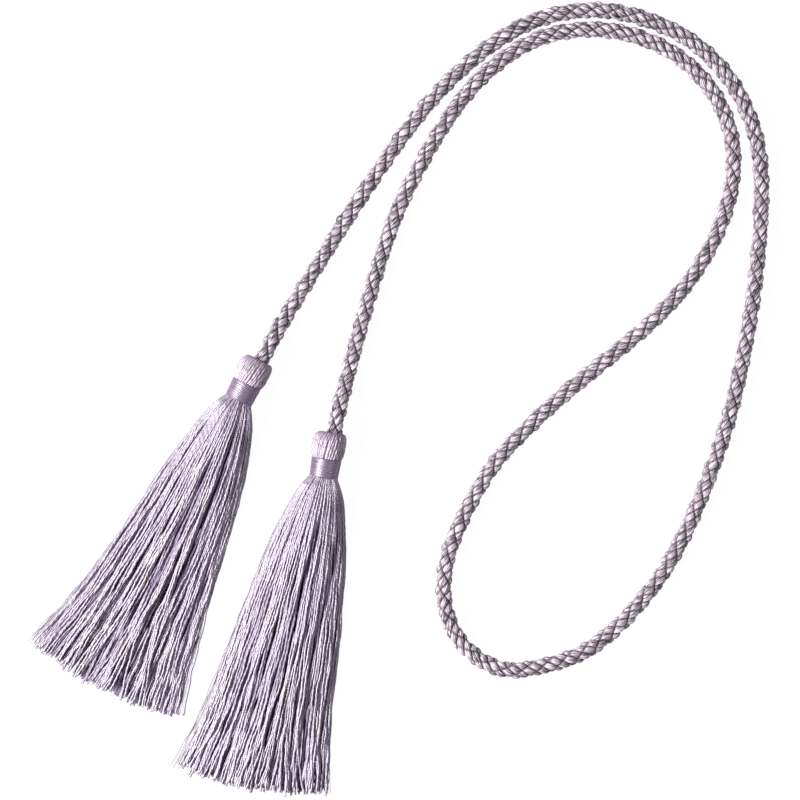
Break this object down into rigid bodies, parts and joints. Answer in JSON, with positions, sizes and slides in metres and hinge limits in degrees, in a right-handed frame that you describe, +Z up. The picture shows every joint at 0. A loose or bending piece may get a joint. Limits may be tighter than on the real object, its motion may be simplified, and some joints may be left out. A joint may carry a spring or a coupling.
{
  "type": "curtain tieback tassel",
  "caption": "Curtain tieback: one loop of round braided cord that holds a gathered curtain, with a bound yarn tassel on each end.",
  "frame": {"origin": "on the tabletop that the part lies on, under the middle of the box of the two tassels without the cord", "axes": "+Z up from the tabletop, +Y from the skirts' cut ends towards the heads, +X to the side on which the loop lies"},
  "size_m": [0.3087, 0.3313, 0.0135],
  "materials": {
    "cord": "lustrous braided yarn",
    "yarn": "lustrous twisted yarn",
    "binding": "smooth shiny thread"
  },
  "bodies": {
    "root": {"cord": "cord", "hank_left": "yarn", "hank_right": "yarn", "binding_left": "binding", "binding_right": "binding"}
  },
  "joints": []
}
